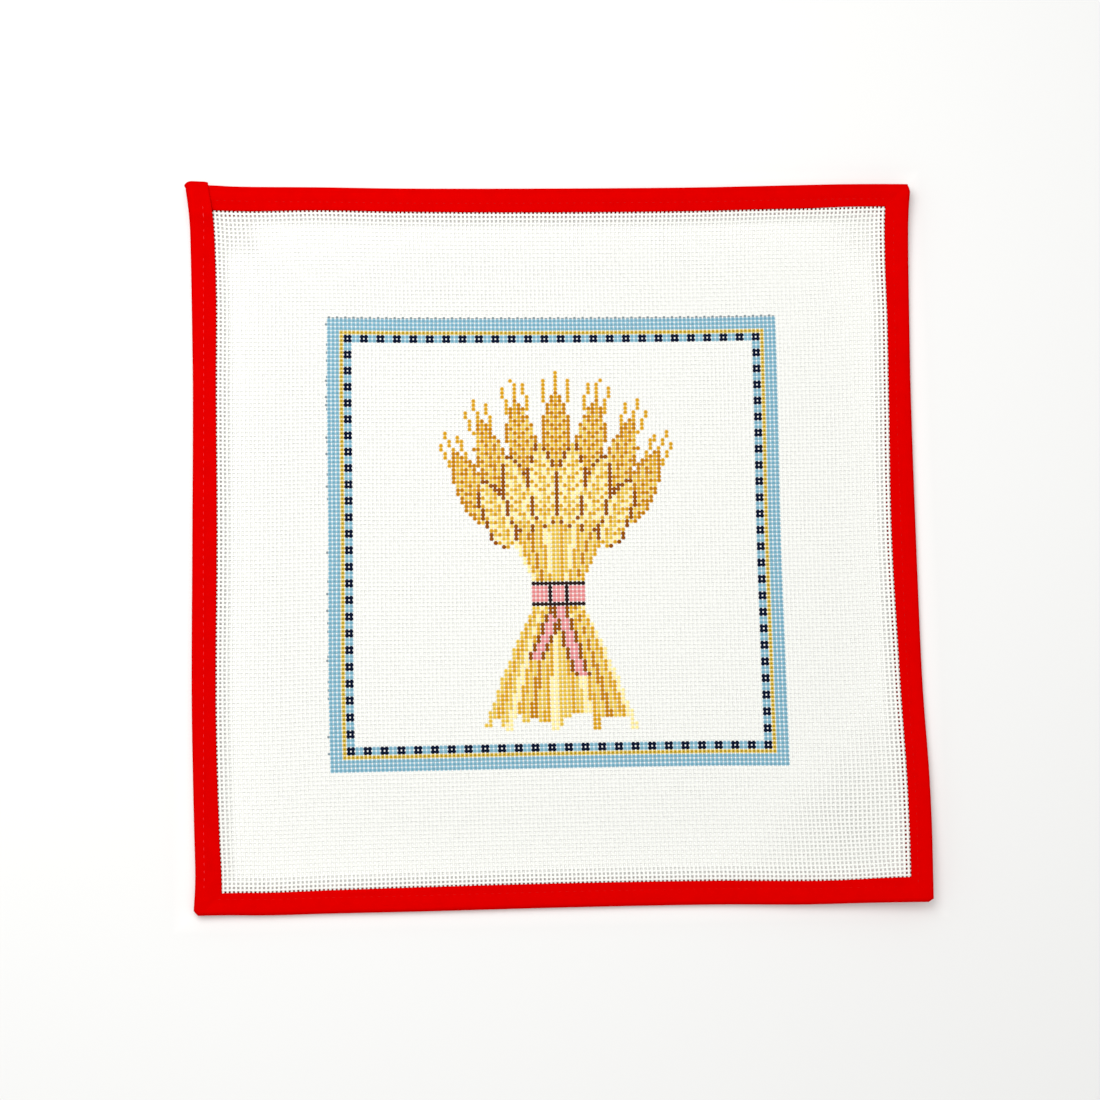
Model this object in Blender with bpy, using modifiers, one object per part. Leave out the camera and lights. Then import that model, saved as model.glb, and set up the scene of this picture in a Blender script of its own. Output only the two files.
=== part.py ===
"""Needlepoint canvas panel, lying flat on a surface with its painted side up.

A square of stiff open canvas has its four raw edges closed in one folded tape. The tape
starts at the top left corner, runs clockwise with a mitred fold at each of the next three
corners, and comes back up the left side, where its end laps over its own start. The tape's
back layer lies on the surface, so the canvas comes down from it to the surface a little
way in from the edge, and stays flat on the surface from there. The panel's corners curl
up by a few millimetres.

Frame: the origin is on the surface, under the middle of the panel. +X runs to the right
of the design, +Y to its top, and +Z is up, out of the painted side.
"""
import bpy
import bmesh
from math import cos, pi, sin

MM = 0.001  # the dimensions below are millimetres, and Blender's unit is the metre

# Driving dimensions.
HALF_WIDTH = 123.3  # middle of the panel to the fold at its left and right
HALF_HEIGHT = 123.6  # middle of the panel to the fold at its top and bottom
TAPE_THICKNESS = 1.0
CANVAS_THICKNESS = 1.0
CLEARANCE = 0.3  # between two layers that lie on each other
FOLD_DEPTH_RATIO = 0.8  # the fold is pressed: its depth over half its height
CANVAS_INSET = 2.3  # from the fold line to the canvas's cut edge

# The small flat across each mitred corner: its reach along the level side and the upright.
CORNER_FLATS = {
    ("right", "top"): (1.1, 2.6),
    ("right", "bottom"): (1.7, 1.1),
    ("left", "bottom"): (1.5, 1.6),
}

# How far each side's fold line bows out from a straight edge, how wide the tape's face is,
# and how much further in its back layer reaches. The columns are the places along the
# side, from the panel's middle, left to right or bottom to top.
PLACES = (-124, -112, -98, -80, -50, 0, 50, 80, 98, 112, 124)
BOW = {
    "top": (0.5, 0.0, 0.0, -0.1, -0.6, -0.7, -0.4, 0.2, 0.4, 0.2, -0.2),
    "right": (-0.1, 0.3, 0.7, 0.7, -0.2, -0.4, -0.2, 0.4, 0.7, 1.1, 2.1),
    "bottom": (0.4, 0.4, 0.7, 0.5, 0.4, 0.0, 0.0, 0.6, 0.5, 0.5, 0.6),
    "left": (-0.3, -0.9, -0.6, -0.2, 0.2, -0.1, -0.4, -0.1, 0.2, 0.6, 2.0),
}
FACE_WIDTH = {
    "top": (8.6, 8.8, 8.6, 8.2, 8.3, 8.5, 8.5, 8.4, 8.4, 8.0, 7.9),
    "right": (7.4, 7.5, 7.6, 7.6, 7.6, 8.4, 7.7, 7.7, 8.1, 8.2, 8.3),
    "bottom": (7.2, 7.4, 7.5, 7.7, 8.0, 8.0, 7.9, 7.9, 7.8, 8.2, 8.4),
    "left": (8.9, 8.4, 8.2, 8.0, 8.0, 8.2, 7.8, 8.3, 8.3, 8.1, 7.9),
}
BACK_REACH = {"top": 1.0, "right": 1.4, "bottom": 0.7, "left": 0.6}

# The corners that curl up: direction in x and y, rise at the tip, and how far in it starts.
CURLS = (
    (-1, 1, 0.8, 45.0),
    (1, 1, 3.0, 50.0),
    (1, -1, 4.0, 90.0),
    (-1, -1, 0.8, 40.0),
)

# The canvas's way down from the tape's back layer to the surface, from the fold line.
SLOPE_START = 10.6
SLOPE_END = 22.0

# The lap at the top left corner.
TAPE_START_INSET = 3.9  # from the left fold line to the end of the top strip
LAP_END = 124.1  # y of the left strip's end
LAP_END_DIPS = (0.7, 0.5)  # how far that end falls back at its fold and its inner corner
LAP_STEP_PLACES = (109.5, 114.2)  # where a strip begins and ends its step over the other
LAP_RAISE_PLACES = (85.0, 108.0)  # where the canvas begins and ends its rise to the lap

# Stations along each side: distances from its ends, then even steps between.
CORNER_STATIONS = (5.0, 8.0, 10.0, 12.0, 14.0, 17.0, 21.0, 26.0, 33.0, 41.0)
CUT_END_STATION = 2.0  # the first station from the tape's own two ends
MIDDLE_STEPS = 14
FLAT_FADE = 3.4  # how far in from the fold line a corner's flat has come to a point
FRONT_STEPS = 3
FOLD_STEPS = 6
BACK_STEPS = 3
CANVAS_STATIONS = (0.0, 3.0, 6.0, 8.4, 11.0, 14.0, 17.0, 20.0, 25.0, 32.0, 41.0)
CANVAS_MIDDLE_STEPS = 12

LAYER = TAPE_THICKNESS + CLEARANCE
HORIZONTAL = ("top", "bottom")


def clear_scene():
    for item in list(bpy.data.objects):
        bpy.data.objects.remove(item, do_unlink=True)


def new_collection(name):
    collection = bpy.data.collections.new(name)
    bpy.context.scene.collection.children.link(collection)
    return collection


def cloth_material(name, colour, roughness):
    material = bpy.data.materials.new(name)
    material.use_nodes = True
    shader = material.node_tree.nodes["Principled BSDF"]
    shader.inputs["Base Color"].default_value = (*colour, 1.0)
    shader.inputs["Roughness"].default_value = roughness
    shader.inputs["Metallic"].default_value = 0.0
    material.diffuse_color = (*colour, 1.0)
    return material


def smooth_step(value, start, end):
    """0 at start, 1 at end, and an even S between them."""
    share = min(max((value - start) / (end - start), 0.0), 1.0)
    return share * share * (3.0 - 2.0 * share)


def along(values, place):
    """A smooth curve through one row of a table, read at a place along the side."""
    place = min(max(place, PLACES[0]), PLACES[-1])
    last = len(PLACES) - 2
    cell = min(sum(place >= knot for knot in PLACES[1:-1]), last)
    gap = PLACES[cell + 1] - PLACES[cell]
    share = (place - PLACES[cell]) / gap
    slopes = [knot_slope(values, knot) * gap for knot in (cell, cell + 1)]
    rise = values[cell + 1] - values[cell]
    return (
        values[cell]
        + share * slopes[0]
        + share**2 * (3.0 * rise - 2.0 * slopes[0] - slopes[1])
        + share**3 * (slopes[0] + slopes[1] - 2.0 * rise)
    )


def knot_slope(values, knot):
    before = max(knot - 1, 0)
    after = min(knot + 1, len(PLACES) - 1)
    return (values[after] - values[before]) / (PLACES[after] - PLACES[before])


def side_point(side, place, inward):
    """The plan point at a place along a side and a distance in from its fold line."""
    bow = along(BOW[side], place)
    if side == "top":
        return place, HALF_HEIGHT + bow - inward
    if side == "bottom":
        return place, -HALF_HEIGHT - bow + inward
    if side == "right":
        return HALF_WIDTH + bow - inward, place
    return -HALF_WIDTH - bow + inward, place


def corner_point(upright, level, inward_upright, inward_level):
    """Where an upright side's and a level side's lines meet, each so far in from its fold."""
    x = HALF_WIDTH if upright == "right" else -HALF_WIDTH
    y = HALF_HEIGHT if level == "top" else -HALF_HEIGHT
    for _ in range(4):
        x = side_point(upright, y, inward_upright)[0]
        y = side_point(level, x, inward_level)[1]
    return x, y


def curl(x, y):
    """How far the corners' curl lifts the panel at a plan point."""
    lift = 0.0
    for toward_x, toward_y, rise, reach in CURLS:
        inset = max(HALF_WIDTH - toward_x * x, 0.0) + max(HALF_HEIGHT - toward_y * y, 0.0)
        lift += rise * max(1.0 - inset / reach, 0.0) ** 2
    return lift


def lap_raise(x, y):
    """How far the canvas is lifted at the lap, where one more layer of tape lies under it."""
    nearness = min(-x, y)
    return LAYER * smooth_step(nearness, *LAP_RAISE_PLACES)


def tape_bottom(side, x, y):
    """Height of the underside of the tape's back layer."""
    over_lap = smooth_step(-x, *LAP_STEP_PLACES) if side == "top" else 0.0
    return curl(x, y) + LAYER * over_lap


def tape_top(side, x, y):
    """Height of the tape's face."""
    over_lap = smooth_step(y, *LAP_STEP_PLACES) if side == "left" else 0.0
    canvas_top = curl(x, y) + lap_raise(x, y) + LAYER + CANVAS_THICKNESS
    return canvas_top + LAYER + LAYER * over_lap


def canvas_bottom(x, y):
    """Height of the canvas's underside, 0 where it lies on the surface."""
    edges = (
        side_point("right", y, 0.0)[0] - x,
        x - side_point("left", y, 0.0)[0],
        side_point("top", x, 0.0)[1] - y,
        y - side_point("bottom", x, 0.0)[1],
    )
    on_tape = 1.0 - smooth_step(min(edges), SLOPE_START, SLOPE_END)
    return LAYER * on_tape + curl(x, y) + lap_raise(x, y)


def section(side, place):
    """The tape's outer surface round the edge: steps in from the fold line, and the turn.

    Each entry is the distance in from the fold line and the height as a share of the way
    from the tape's underside, 0, to its face, 1.
    """
    x, y = side_point(side, place, 0.0)
    half_height = (tape_top(side, x, y) - tape_bottom(side, x, y)) / 2.0
    depth = half_height * FOLD_DEPTH_RATIO
    face = along(FACE_WIDTH[side], place)
    back = face + BACK_REACH[side]
    front_layer = [
        (face + (depth - face) * step / FRONT_STEPS, 1.0) for step in range(FRONT_STEPS)
    ]
    turns = [pi * (0.5 - step / FOLD_STEPS) for step in range(FOLD_STEPS + 1)]
    fold = [(depth * (1.0 - cos(turn)), 0.5 + 0.5 * sin(turn)) for turn in turns]
    back_layer = [
        (depth + (back - depth) * step / BACK_STEPS, 0.0) for step in range(1, BACK_STEPS + 1)
    ]
    return front_layer + fold + back_layer


def spaced_shares(length, near_end, far_end, middle_steps):
    """Places along a length as shares of it: close together near both ends, then even."""
    span = length - near_end[-1] - far_end[-1]
    middle = [near_end[-1] + span * step / middle_steps for step in range(1, middle_steps)]
    places = [*near_end, *middle, *(length - end for end in reversed(far_end))]
    return [place / length for place in places]


def mitre(upright, level):
    """The station on a corner's diagonal, drawn in to the middle of the corner's flat."""
    toward_x = 1 if upright == "right" else -1
    toward_y = 1 if level == "top" else -1
    flat_x, flat_y = CORNER_FLATS[upright, level]
    upright_rows = section(upright, toward_y * HALF_HEIGHT)
    level_rows = section(level, toward_x * HALF_WIDTH)
    station = []
    for (inward_x, share), (inward_y, _) in zip(upright_rows, level_rows):
        x, y = corner_point(upright, level, inward_x, inward_y)
        left_over = max(1.0 - min(inward_x, inward_y) / FLAT_FADE, 0.0) / 2.0
        x -= toward_x * flat_x * left_over
        y -= toward_y * flat_y * left_over
        station.append((x, y, share))
    return station


def tape_start():
    """The cut end of the top strip, inside the left strip's fold."""
    edge = side_point("left", HALF_HEIGHT, 0.0)[0] + TAPE_START_INSET
    rows = section("top", edge)
    return [(*side_point("top", edge, inward), share) for inward, share in rows]


def tape_end():
    """The cut end of the left strip, which laps over the top strip."""
    rows = section("left", LAP_END)
    fold_dip, inner_dip = LAP_END_DIPS
    station = []
    for inward, share in rows:
        dip = fold_dip * max(1.0 - inward / 2.0, 0.0) ** 2
        dip += inner_dip * max(inward - rows[0][0] + 1.0, 0.0)
        end = LAP_END - min(dip, max(LAP_END_DIPS))
        station.append((*side_point("left", end, inward), share))
    return station


def end_stations(side, corner):
    """Distances of the stations near one end of a side, from that end."""
    flat = CORNER_FLATS.get(corner)
    if flat is None:
        return (CUT_END_STATION, *CORNER_STATIONS)
    return (flat[0 if side in HORIZONTAL else 1] / 2.0, *CORNER_STATIONS)


def strip_stations(side, first, last, corners):
    """The stations along one side, between those at its two ends."""
    axis = 0 if side in HORIZONTAL else 1
    fold_row = FRONT_STEPS + FOLD_STEPS // 2
    start, end = first[fold_row][axis], last[fold_row][axis]
    near_end, far_end = (end_stations(side, corner) for corner in corners)
    stations = []
    for part in spaced_shares(abs(end - start), near_end, far_end, MIDDLE_STEPS):
        rows = section(side, start + (end - start) * part)
        station = []
        for (inward, share), first_row, last_row in zip(rows, first, last):
            place = first_row[axis] + (last_row[axis] - first_row[axis]) * part
            station.append((*side_point(side, place, inward), share))
        stations.append(station)
    return stations


def raised(side, station):
    """A station's plan points with their heights, in metres."""
    points = []
    for x, y, share in station:
        bottom, top = tape_bottom(side, x, y), tape_top(side, x, y)
        points.append((x * MM, y * MM, (bottom + (top - bottom) * share) * MM))
    return points


def tape_surface():
    """The tape's outer surface: a row of points across it at each station of its run."""
    stops = [None, *CORNER_FLATS, None]
    stations = [tape_start(), *(mitre(*corner) for corner in CORNER_FLATS), tape_end()]
    surface = []
    for run, side in enumerate(("top", "right", "bottom", "left")):
        first, last = stations[run], stations[run + 1]
        between = strip_stations(side, first, last, stops[run : run + 2])
        surface += [raised(side, station) for station in (first, *between)]
    surface.append(raised("left", stations[-1]))
    return surface


def grid_object(name, rows, collection, material, thickness):
    """A sheet through rows of points, thickened on the side away from its normals."""
    mesh = bpy.data.meshes.new(name)
    form = bmesh.new()
    grid = [[form.verts.new(point) for point in row] for row in rows]
    for near, far in zip(grid, grid[1:]):
        for a, b, c, d in zip(near, far, far[1:], near[1:]):
            form.faces.new((a, b, c, d))
    form.to_mesh(mesh)
    form.free()
    mesh.shade_smooth()
    mesh.materials.append(material)
    sheet = bpy.data.objects.new(name, mesh)
    collection.objects.link(sheet)
    solid = sheet.modifiers.new("Thickness", "SOLIDIFY")
    solid.thickness = thickness * MM
    solid.offset = -1.0
    solid.use_even_offset = True
    return sheet


def blend(first, last, share):
    return tuple(a + (b - a) * share for a, b in zip(first, last))


def canvas_surface():
    """The canvas's underside: rows from left to right, each from top to bottom."""
    corners = {
        (upright, level): corner_point(upright, level, CANVAS_INSET, CANVAS_INSET)
        for upright in ("left", "right")
        for level in HORIZONTAL
    }
    width = 2.0 * (HALF_WIDTH - CANVAS_INSET)
    shares = spaced_shares(width, CANVAS_STATIONS, CANVAS_STATIONS, CANVAS_MIDDLE_STEPS)
    rows = []
    for across in shares:
        row = []
        for down in shares:
            top, bottom = (
                side_point(
                    level,
                    blend(corners["left", level], corners["right", level], across)[0],
                    CANVAS_INSET,
                )
                for level in HORIZONTAL
            )
            left, right = (
                side_point(
                    upright,
                    blend(corners[upright, "top"], corners[upright, "bottom"], down)[1],
                    CANVAS_INSET,
                )
                for upright in ("left", "right")
            )
            flat = blend(
                blend(corners["left", "top"], corners["right", "top"], across),
                blend(corners["left", "bottom"], corners["right", "bottom"], across),
                down,
            )
            sideways = blend(left, right, across)
            upward = blend(top, bottom, down)
            x, y = (a + b - c for a, b, c in zip(sideways, upward, flat))
            row.append((x * MM, y * MM, canvas_bottom(x, y) * MM))
        rows.append(row)
    return rows


def build():
    clear_scene()
    panel = new_collection("needlepoint_canvas_panel")
    white_canvas = cloth_material("white_canvas", (0.93, 0.93, 0.90), 0.85)
    red_tape = cloth_material("red_tape", (0.78, 0.004, 0.003), 0.7)
    grid_object("canvas", canvas_surface(), panel, white_canvas, CANVAS_THICKNESS)
    grid_object("binding", tape_surface(), panel, red_tape, TAPE_THICKNESS)


build()
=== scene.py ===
"""Look of the needlepoint canvas panel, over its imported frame.

The plain canvas solid gives way to the woven threads, painted crossing by crossing, and the
plain binding to a thinner folded tape with its machine stitches. The tables of the panel's
outline are the CAD's own, so the tape and the canvas lie where their solids do.

Frame: the origin is on the surface, under the middle of the panel. +X runs to the right of
the design, +Y to its top, and +Z is up, out of the painted side.
"""
from math import cos, pi, radians, sin

import bmesh
import bpy
import numpy as np
from mathutils import Matrix, Vector

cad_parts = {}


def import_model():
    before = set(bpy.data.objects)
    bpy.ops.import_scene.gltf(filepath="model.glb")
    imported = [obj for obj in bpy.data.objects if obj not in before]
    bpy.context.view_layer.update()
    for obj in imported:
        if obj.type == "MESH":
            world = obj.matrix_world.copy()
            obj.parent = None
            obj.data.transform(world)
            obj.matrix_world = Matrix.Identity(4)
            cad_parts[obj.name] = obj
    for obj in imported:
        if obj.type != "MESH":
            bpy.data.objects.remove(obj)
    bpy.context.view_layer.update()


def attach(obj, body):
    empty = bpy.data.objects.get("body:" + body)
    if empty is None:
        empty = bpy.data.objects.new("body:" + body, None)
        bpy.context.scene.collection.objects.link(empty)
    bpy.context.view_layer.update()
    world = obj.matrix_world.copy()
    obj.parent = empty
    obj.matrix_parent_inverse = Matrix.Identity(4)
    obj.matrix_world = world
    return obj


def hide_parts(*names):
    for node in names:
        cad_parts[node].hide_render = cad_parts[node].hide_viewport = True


MM = 0.001  # the dimensions below are millimetres, and Blender's unit is the metre
SEED = 18  # of every random draw

# ---------------------------------------------------------------- the panel's outline
HALF_WIDTH = 123.3  # middle of the panel to the fold at its left and right
HALF_HEIGHT = 123.6  # middle of the panel to the fold at its top and bottom
FACE_MEAN, BACK_MEAN = 8.0, 0.9  # the tape's face, and its back layer's reach past it
# How far each side's fold line bows out from a straight edge, how wide the tape's face is,
# and how much further in its back layer reaches. The columns are the places along the
# side, from the panel's middle, left to right or bottom to top.
PLACES = np.array((-124.0, -112, -98, -80, -50, 0, 50, 80, 98, 112, 124))
BOW = {
    "top": (0.5, 0.0, 0.0, -0.1, -0.6, -0.7, -0.4, 0.2, 0.4, 0.2, -0.2),
    "right": (-0.1, 0.3, 0.7, 0.7, -0.2, -0.4, -0.2, 0.4, 0.7, 1.1, 2.1),
    "bottom": (0.4, 0.4, 0.7, 0.5, 0.4, 0.0, 0.0, 0.6, 0.5, 0.5, 0.6),
    "left": (-0.3, -0.9, -0.6, -0.2, 0.2, -0.1, -0.4, -0.1, 0.2, 0.6, 2.0),
}
FACE_WIDTH = {
    "top": (8.6, 8.8, 8.6, 8.2, 8.3, 8.5, 8.5, 8.4, 8.4, 8.0, 7.9),
    "right": (7.4, 7.5, 7.6, 7.6, 7.6, 8.4, 7.7, 7.7, 8.1, 8.2, 8.3),
    "bottom": (7.2, 7.4, 7.5, 7.7, 8.0, 8.0, 7.9, 7.9, 7.8, 8.2, 8.4),
    "left": (8.9, 8.4, 8.2, 8.0, 8.0, 8.2, 7.8, 8.3, 8.3, 8.1, 7.9),
}
BACK_REACH = {"top": 1.0, "right": 1.4, "bottom": 0.7, "left": 0.6}
# The small flat across each mitred corner: its reach along the level side and the upright.
CORNER_FLATS = {
    ("right", "top"): (1.1, 2.6),
    ("right", "bottom"): (1.7, 1.1),
    ("left", "bottom"): (1.5, 1.6),
}
# The corners that curl up: direction in x and y, rise at the tip, and how far in it starts.
CURLS = (
    (-1, 1, 0.8, 45.0),
    (1, 1, 3.0, 50.0),
    (1, -1, 4.0, 90.0),
    (-1, -1, 0.8, 40.0),
)
# The canvas's way down from the tape's back layer to the surface, from the fold line.
SLOPE_START, SLOPE_END = 8.8, 14.0
HORIZONTAL = ("top", "bottom")
MEETING_ROUNDS = 4  # of closing in on the point where two bowed lines meet

# ---------------------------------------------------------------- the lap, top left
TAPE_START_INSET = 3.9  # from the left fold line to the end of the top strip
LAP_END = 124.5  # y of the left strip's end
LAP_END_DIPS = (0.9, 0.2)  # how far that end falls back at its fold and its inner corner
LAP_DIP_REACHES = (2.0, 1.0)  # how far in from the fold, and from that corner, it does so
LAP_EAR = 0.35  # how far the lap's corner stands out past the fold
LAP_STEP_PLACES = (109.5, 114.2)  # where a strip begins and ends its step over the other
LAP_RAISE_PLACES = (98.0, 113.0)  # where the canvas begins and ends its rise to the lap

# ---------------------------------------------------------------- the real cloths' thickness
TAPE_THICKNESS = 0.42
PITCH = 1.414  # of the canvas's threads, in both directions
WARP_WIDTH, WEFT_WIDTH = 0.90, 0.82  # of the upright and the level threads
THREAD_HEIGHT = 0.2
WEAVE_AMPLITUDE = 0.07  # how far a thread's middle line rises over a crossing
CANVAS_THICKNESS = THREAD_HEIGHT + 2.0 * WEAVE_AMPLITUDE
LOFT = 0.85  # the soft tape stands so far off the canvas, on each side of it
LAYER = TAPE_THICKNESS + LOFT
FOLD_DEPTH_RATIO = 0.8  # the fold is pressed: its depth over half its height
REST_HEIGHT = 0.06  # of the tape's back layer, which lies on its stitches

# ---------------------------------------------------------------- the canvas's threads
THREADS = 168  # in each direction, those just under the tape's face included
MIDDLE = (THREADS - 1) / 2.0  # the painted border's centre, in threads from the first
# Thread counts from the border's centre to the inner edges of the tape's face.
FACE_EDGES = {"left": -81.05, "right": 81.9, "bottom": -82.05, "top": 81.1}
# How far the pulled weave lies off an even spread, to the right and up, in millimetres:
# rows from the top down, each at the border's left side, the middle and its right side.
DRIFT_RIGHT = ((0.55, -0.15, -0.78), (0.65, 0.18, -0.05), (0.55, -0.33, -1.10))
DRIFT_UP = ((-0.50, -0.50, -0.65), (0.21, 0.11, 0.01), (0.34, 0.28, 0.30))
DRIFTS = (DRIFT_RIGHT, DRIFT_UP)
SETS = 3  # pieces that the threads of one direction are made in
# A thread's section, flattened on its underside: shares of its half width and half height.
SECTION = ((1.0, -0.8), (0.6, 0.8), (-0.6, 0.8), (-1.0, -0.8))
SIDES = len(SECTION)
THREAD_WANDER = 0.03  # of the pitch, to either side
WANDER_LENGTHS = (9.0, 23.0, 61.0)  # of its waves, in threads
BAKE_MAP = "OFBake"  # name of the UV map made for baking the textures
BAKE_CAP = (0.2, 0.4)  # where a thread's end caps lie on that map, in its first cell

# ---------------------------------------------------------------- the painted design
# Each paint's tone on the knuckles, where it lies thick, and its tone between them.
PAINTS = {
    "bare": ((0.795, 0.80, 0.76), (0.795, 0.80, 0.76)),
    "light_blue": ((0.150, 0.335, 0.435), (0.335, 0.555, 0.66)),
    "gold": ((0.39, 0.235, 0.004), (0.84, 0.67, 0.21)),
    "navy": ((0.002, 0.006, 0.024), (0.002, 0.006, 0.024)),
    "tan": ((0.64, 0.40, 0.030), (0.87, 0.68, 0.22)),
    "honey": ((0.54, 0.265, 0.003), (0.81, 0.50, 0.08)),
    "ochre": ((0.41, 0.15, 0.001), (0.65, 0.31, 0.02)),
    "brown": ((0.26, 0.068, 0.001), (0.26, 0.068, 0.001)),
    "cream": ((0.87, 0.72, 0.28), (0.94, 0.86, 0.55)),
    "rose": ((0.64, 0.20, 0.20), (0.84, 0.40, 0.40)),
    "dark": ((0.020, 0.010, 0.010), (0.020, 0.010, 0.010)),
    "rim": ((0.20, 0.25, 0.27), (0.20, 0.25, 0.27)),
}
KNUCKLE = "knuckle"  # a value of each point: 1 at the crossings, 0 midway between them
KNUCKLE_EDGE = (0.2, 0.6)  # of that value, between the two tones
BARE_SPREAD, PAINT_SPREAD = 0.01, 0.12  # how much darker the cloth and the paints are in spots
RIM_GAPS = 0.7  # share of the left rim's dots that are missing
NAME_TYPE = "<U12"  # holds the longest of the paints' names
BORDER_HALF = 54.5  # border's centre to its outermost threads
BAND_THREADS = 3  # of light blue, outside the gold line
CHECK_START, CHECK_END = 4, 6  # the ring of checks, in threads in from the border's edge
CHECK_THREADS = 2

# The sheaf in the middle. Its stalks fan out from a focus below its tie; the places are in
# threads from the sheaf's centre, the angles in degrees from upright.
MOTIF_CENTRE = (0.5, -1.5)
FOCUS_UP = -30.0
TIE = (-14, -9)  # lowest and highest row
TIE_HALF = 6
STALK_PATTERN = (
    "tan", "honey", "tan", "cream", "honey", "tan", "ochre", "tan", "honey", "cream", "tan",
)
# Each fan of stalks: its first row and half width, its last row and half width, its number
# of stalks, how ragged its far end is, and the pattern's tone that it begins with.
FAN_BELOW = (TIE[0], 5.5, -45, 19.0, 21, 5.0, 0)
FAN_ABOVE = (TIE[1], 5.5, 18, 17.0, 17, 0.0, 3)
FAN_CURVE = 0.85  # under 1, a fan widens faster at its start
EAR_HALF = 3.6
EAR_TIP = (0.35, 0.6)  # share of the ear that narrows to its tip, and how bluntly
EAR_FOOT = (0.2, 0.4)  # the same of its foot
EAR_SPINE = 0.6  # half width of the line between its two rows of grains
EAR_RIM = 0.8  # width of its darker edge
GRAIN_SPACING = 3.0
GRAIN_SLANT = 1.2  # how steeply the grains point to the tip
GRAIN_GAP = 0.9  # width of the line between two grains
BACK_EAR = ("honey", "ochre", "tan", "ochre")  # grains, between them, their light, the rim
FRONT_EAR = ("tan", "honey", "cream", "brown")
EARS = (  # lean, distance of the tip from the focus, length, paints; from the back to the front
    (25, 59, 20, BACK_EAR),
    (17, 64, 21, BACK_EAR),
    (8.5, 67, 22, BACK_EAR),
    (0, 68, 22, BACK_EAR),
    (21, 50, 18, FRONT_EAR),
    (12.5, 54, 20, FRONT_EAR),
    (4.3, 56, 21, FRONT_EAR),
)
BRISTLES = ((-2.2, 7.0), (0.0, 9.0), (2.2, 7.0))  # of a back ear: lean and length
BRISTLE_START = 3.5  # below the ear's tip
BRISTLE_HALF = 0.5
RIBBON_TAILS = ((-0.42, 13), (0.30, 17))  # slope from upright and length of each
RIBBON_HALVES = (2.0, 1.0)  # of the tails and the knot: with their dark edges, and without

# ---------------------------------------------------------------- the tape
RED = (0.58, 0.0, 0.0)
# Stations along each side: distances from its ends, then even steps between.
CORNER_STATIONS = (
    2.5, 5.0, 7.0, 8.0, 9.0, 10.0, 11.0, 12.5, 14.0, 17.0, 21.0, 26.0, 33.0, 41.0,
)
CUT_END_STATION = 1.0  # the first station from the tape's own two ends
MIDDLE_STEPS = 44
FLAT_FADE = 3.4  # how far in from the fold line a corner's flat has come to a point
FRONT_STEPS = 5
# The tape's face is pressed down towards its inner edge: distances in from that edge, and how
# much lower than by the fold.
FACE_PRESS = (
    (0.0, 1.02), (0.12, 0.84), (0.35, 0.70), (1.0, 0.62), (1.9, 0.50),
    (2.7, 0.44), (3.5, 0.26), (4.4, 0.10), (5.4, 0.0),
)
FOLD_STEPS = 10
BACK_STEPS = 5
# How much higher each side begins, past the mitre, where it lies over a tucked layer.
MITRE_STEPS = {"right": 0.35, "bottom": 0.12, "left": 0.12}
MITRE_WIDTH = 0.25
MITRE_FADE = 9.0  # how far from the mitre that step has died away

# ---------------------------------------------------------------- the machine stitches
# How far in from the fold line they are, at the places along each side.
STITCH_INSETS = {
    "top": len(PLACES) * (5.4,),
    "right": len(PLACES) * (5.2,),
    "bottom": len(PLACES) * (5.2,),
    "left": (3.0, 3.0, 3.1, 3.5, 4.0, 3.75, 3.7, 4.0, 4.3, 4.9, 5.3),
}
STITCH_END = 5.2  # from a side's end to the first stitch
STITCH_PITCH = 2.5
STITCH_LENGTH = 1.9
STITCH_RADIUS = 0.15
STITCH_TAPER = 0.35  # a stitch's radius at its ends over that at its middle
STITCH_DIVE = 0.3  # how much deeper its ends lie in the tape, in radiuses
STITCH_PROUD = 0.06
STITCH_SIDES, STITCH_STEPS = 5, 4
# The left side's stitches are a lighter red, a painted highlight for the window's light that they
# catch.
STITCH_TONES = {"red_thread": (0.60, 0.003, 0.003), "red_thread_painted_highlight": (0.80, 0.035, 0.045)}

# ---------------------------------------------------------------- camera and light
CAMERA_PLACE = (-66.118, -138.139, 925.212)
CAMERA_RIGHT = (0.99764, -0.02050, 0.06551)
CAMERA_FORWARD = (0.06779, 0.14410, -0.98724)
LENS, SENSOR = 90.327, 36.0
FLOOR_SIZE = 4000.0
LAMP_PLACE = (-215.0, 215.0, 650.0)
LAMP_SIZE = 500.0
LAMP_POWER = 3.55
SKY_HEIGHTS = (-0.1, 0.9)  # sines of the elevations that the sky's light grows between
SKY_STRENGTHS = (0.56, 0.86)  # of the light there
FLOOR_TONE = 0.76
UNDER_REACH = (112.0, 119.0)  # the table under the panel ends there, hidden by the tape
RAMP_SPAN = 2.0 * UNDER_REACH[1]  # the distance that is 1 on the table's colour ramps
# The table's tones so far out from the middle: paler under the panel, painted light that stands in
# for light spreading through the cloth.
PAINTED_LIGHT_UNDER_TONES = ((60.0, 0.815), (98.0, 0.79), (112.0, 0.79), (119.0, FLOOR_TONE))
# Painted light: the table glows, though it is no lamp, under the cloth in place of the light that
# comes through it, and a little past the tape's fold, lightening the shade there: how much, so far
# out from the middle.
GLOW = (
    (95.0, 0.0), (106.0, 0.12), (112.0, 0.19), (118.0, 0.0),
    (121.0, 0.0), (124.0, 0.08), (130.0, 0.0),
)
# The same painted glow on the diagonals, toward the corners.
CORNER_GLOW = ((66.0, 0.0), (84.0, 0.05), (112.0, 0.14))  # as well, on the diagonals
# And more painted glow toward the lower right, under the lifted corner: distances on the slant, from
# a line that far before the middle, and the share of this light that is left so far out from the
# middle.
SLANT_START = 100.0
SLANT_GLOW = ((20.0, 0.0), (50.0, 0.03), (100.0, 0.045), (150.0, 0.07), (190.0, 0.10))
SLANT_FADE = ((96.0, 1.0), (110.0, 0.3), (119.0, 0.0))
WHITE = (1.0, 1.0, 0.985)


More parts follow.
